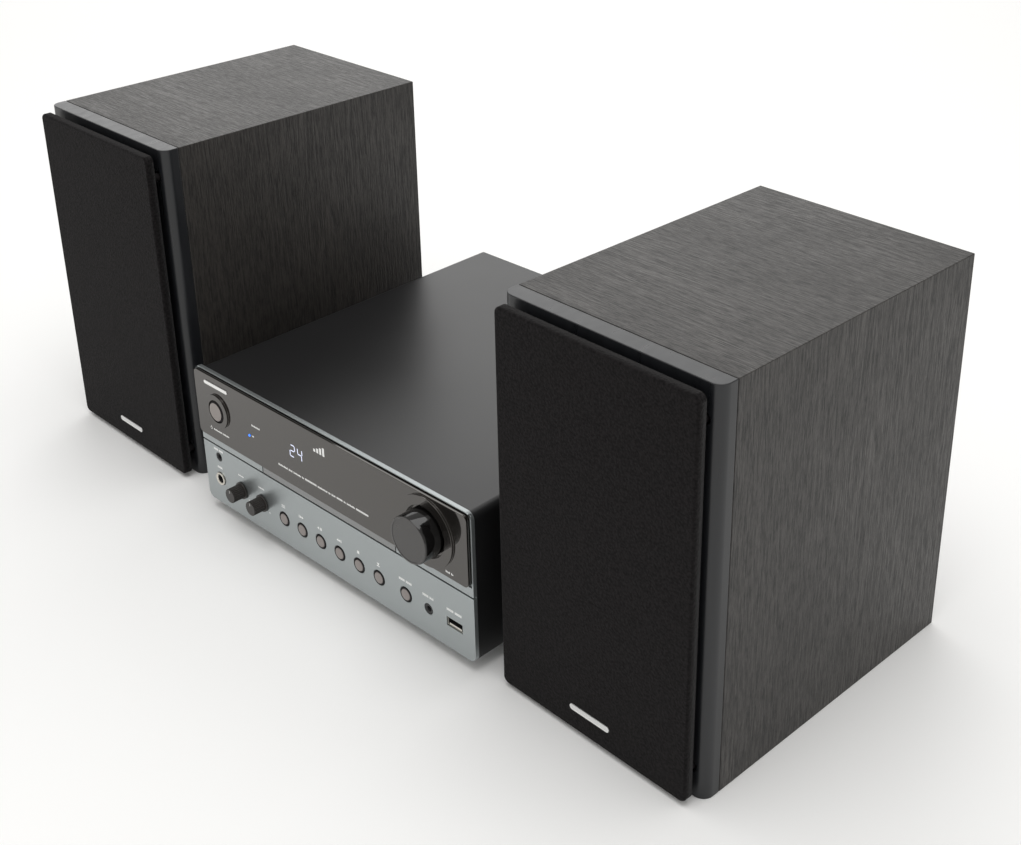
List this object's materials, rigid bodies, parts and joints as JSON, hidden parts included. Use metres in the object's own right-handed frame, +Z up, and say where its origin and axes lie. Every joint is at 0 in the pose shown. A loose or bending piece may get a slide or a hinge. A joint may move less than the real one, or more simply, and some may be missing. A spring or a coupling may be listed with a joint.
{
  "type": "mini hifi system",
  "caption": "Compact stereo: main unit with disc tray, knobs and buttons, and bookshelf speakers with pull-off cloth grilles.",
  "frame": {"origin": "on the floor, under the middle of the whole system's outer box", "axes": "+Z up, the fronts face -Y, +X to the right as seen from the front"},
  "size_m": [0.6278, 0.2852, 0.25],
  "materials": {
    "satin_metallic": "satin",
    "gloss_fascia": "gloss",
    "painted_steel": "matt, fine texture",
    "plated_steel": "satin",
    "aluminium": "satin",
    "gloss_knob": "gloss",
    "button": "satin metallic",
    "nickel": "polished",
    "circuit_board": "satin",
    "moulding": "matt",
    "foot_rubber": "matt",
    "black_ash": "satin printed grain",
    "grille_cloth": "woven",
    "paper_cone": "matt",
    "surround_rubber": "satin"
  },
  "bodies": {
    "main_unit": {"aerial_socket": "moulding", "bass_potentiometer": "moulding", "chassis_tray": "plated_steel", "control_board": "circuit_board", "display_fascia": "gloss_fascia", "display_module": "circuit_board", "drive_frame": "moulding", "foot_front_left": "foot_rubber", "foot_front_right": "foot_rubber", "foot_rear_left": "foot_rubber", "foot_rear_right": "foot_rubber", "front_bezel": "satin_metallic", "headphone_socket": "moulding", "heat_sink": "aluminium", "line_in_socket": "moulding", "line_out_socket": "moulding", "main_board": "circuit_board", "mains_inlet": "moulding", "microphone_socket": "nickel", "rear_panel": "painted_steel", "speaker_terminals": "moulding", "top_cover": "painted_steel", "transformer": "plated_steel", "treble_potentiometer": "moulding", "usb_socket": "nickel", "volume_encoder": "moulding"},
    "tray": {"disc_tray": "moulding", "tray_front": "satin_metallic"},
    "deck": {"drive_deck": "plated_steel"},
    "spindle": {"disc_spindle": "moulding"},
    "sled": {"laser_sled": "moulding"},
    "volume": {"volume_knob": "gloss_knob"},
    "bass": {"bass_knob": "gloss_knob"},
    "treble": {"treble_knob": "gloss_knob"},
    "power": {"power_button": "button"},
    "menu": {"menu_button": "button"},
    "previous": {"previous_button": "button"},
    "play": {"play_button": "button"},
    "next": {"next_button": "button"},
    "stop": {"stop_button": "button"},
    "eject": {"eject_button": "button"},
    "source": {"source_button": "button"},
    "left_speaker": {"left_cabinet": "black_ash", "left_baffle": "black_ash", "left_back_panel": "black_ash", "left_terminal_cup": "moulding", "left_woofer_frame": "plated_steel", "left_woofer_surround": "surround_rubber", "left_tweeter": "moulding"},
    "left_cone": {"left_woofer_cone": "paper_cone"},
    "left_grille": {"left_grille": "grille_cloth"},
    "right_speaker": {"right_cabinet": "black_ash", "right_baffle": "black_ash", "right_back_panel": "black_ash", "right_terminal_cup": "moulding", "right_woofer_frame": "plated_steel", "right_woofer_surround": "surround_rubber", "right_tweeter": "moulding"},
    "right_cone": {"right_woofer_cone": "paper_cone"},
    "right_grille": {"right_grille": "grille_cloth"}
  },
  "joints": [
    {"name": "tray_slide", "type": "slide", "parent": "main_unit", "child": "tray", "axis": [0, -1, 0], "range_m": [0, 0.13]},
    {"name": "deck_lift", "type": "slide", "parent": "main_unit", "child": "deck", "axis": [0, 0, 1], "range_m": [0, 0.006]},
    {"name": "spindle_turn", "type": "hinge", "parent": "deck", "child": "spindle", "pos_m": [0.00781, -0.05435, 0.048], "axis": [0, 0, 1], "continuous": true},
    {"name": "sled_slide", "type": "slide", "parent": "deck", "child": "sled", "axis": [0, 1, 0], "range_m": [0, 0.02]},
    {"name": "volume_turn", "type": "hinge", "parent": "main_unit", "child": "volume", "pos_m": [0.10651, -0.12635, 0.0863], "axis": [0, 1, 0], "continuous": true},
    {"name": "bass_turn", "type": "hinge", "parent": "main_unit", "child": "bass", "pos_m": [-0.08569, -0.12635, 0.0297], "axis": [0, 1, 0], "range_deg": [-140, 140]},
    {"name": "treble_turn", "type": "hinge", "parent": "main_unit", "child": "treble", "pos_m": [-0.06279, -0.12635, 0.0297], "axis": [0, 1, 0], "range_deg": [-140, 140]},
    {"name": "power_press", "type": "slide", "parent": "main_unit", "child": "power", "axis": [0, 1, 0], "range_m": [0, 0.0015], "stiffness_N_per_m": 900},
    {"name": "menu_press", "type": "slide", "parent": "main_unit", "child": "menu", "axis": [0, 1, 0], "range_m": [0, 0.0012], "stiffness_N_per_m": 800},
    {"name": "previous_press", "type": "slide", "parent": "main_unit", "child": "previous", "axis": [0, 1, 0], "range_m": [0, 0.0012], "stiffness_N_per_m": 800},
    {"name": "play_press", "type": "slide", "parent": "main_unit", "child": "play", "axis": [0, 1, 0], "range_m": [0, 0.0012], "stiffness_N_per_m": 800},
    {"name": "next_press", "type": "slide", "parent": "main_unit", "child": "next", "axis": [0, 1, 0], "range_m": [0, 0.0012], "stiffness_N_per_m": 800},
    {"name": "stop_press", "type": "slide", "parent": "main_unit", "child": "stop", "axis": [0, 1, 0], "range_m": [0, 0.0012], "stiffness_N_per_m": 800},
    {"name": "eject_press", "type": "slide", "parent": "main_unit", "child": "eject", "axis": [0, 1, 0], "range_m": [0, 0.0012], "stiffness_N_per_m": 800},
    {"name": "source_press", "type": "slide", "parent": "main_unit", "child": "source", "axis": [0, 1, 0], "range_m": [0, 0.0012], "stiffness_N_per_m": 800},
    {"name": "left_speaker_place", "type": "slide", "parent": "main_unit", "child": "left_speaker", "axis": [-1, 0, 0], "range_m": [0, 0.2]},
    {"name": "left_cone_travel", "type": "slide", "parent": "left_speaker", "child": "left_cone", "axis": [-0.0213, -0.9998, 0], "range_m": [-0.0025, 0.0025], "stiffness_N_per_m": 1500},
    {"name": "left_grille_pull", "type": "slide", "parent": "left_speaker", "child": "left_grille", "axis": [-0.0213, -0.9998, 0], "range_m": [0, 0.03]},
    {"name": "right_speaker_place", "type": "slide", "parent": "main_unit", "child": "right_speaker", "axis": [1, 0, 0], "range_m": [0, 0.2]},
    {"name": "right_cone_travel", "type": "slide", "parent": "right_speaker", "child": "right_cone", "axis": [-0.0372, -0.9993, 0], "range_m": [-0.0025, 0.0025], "stiffness_N_per_m": 1500},
    {"name": "right_grille_pull", "type": "slide", "parent": "right_speaker", "child": "right_grille", "axis": [-0.0372, -0.9993, 0], "range_m": [0, 0.03]}
  ]
}
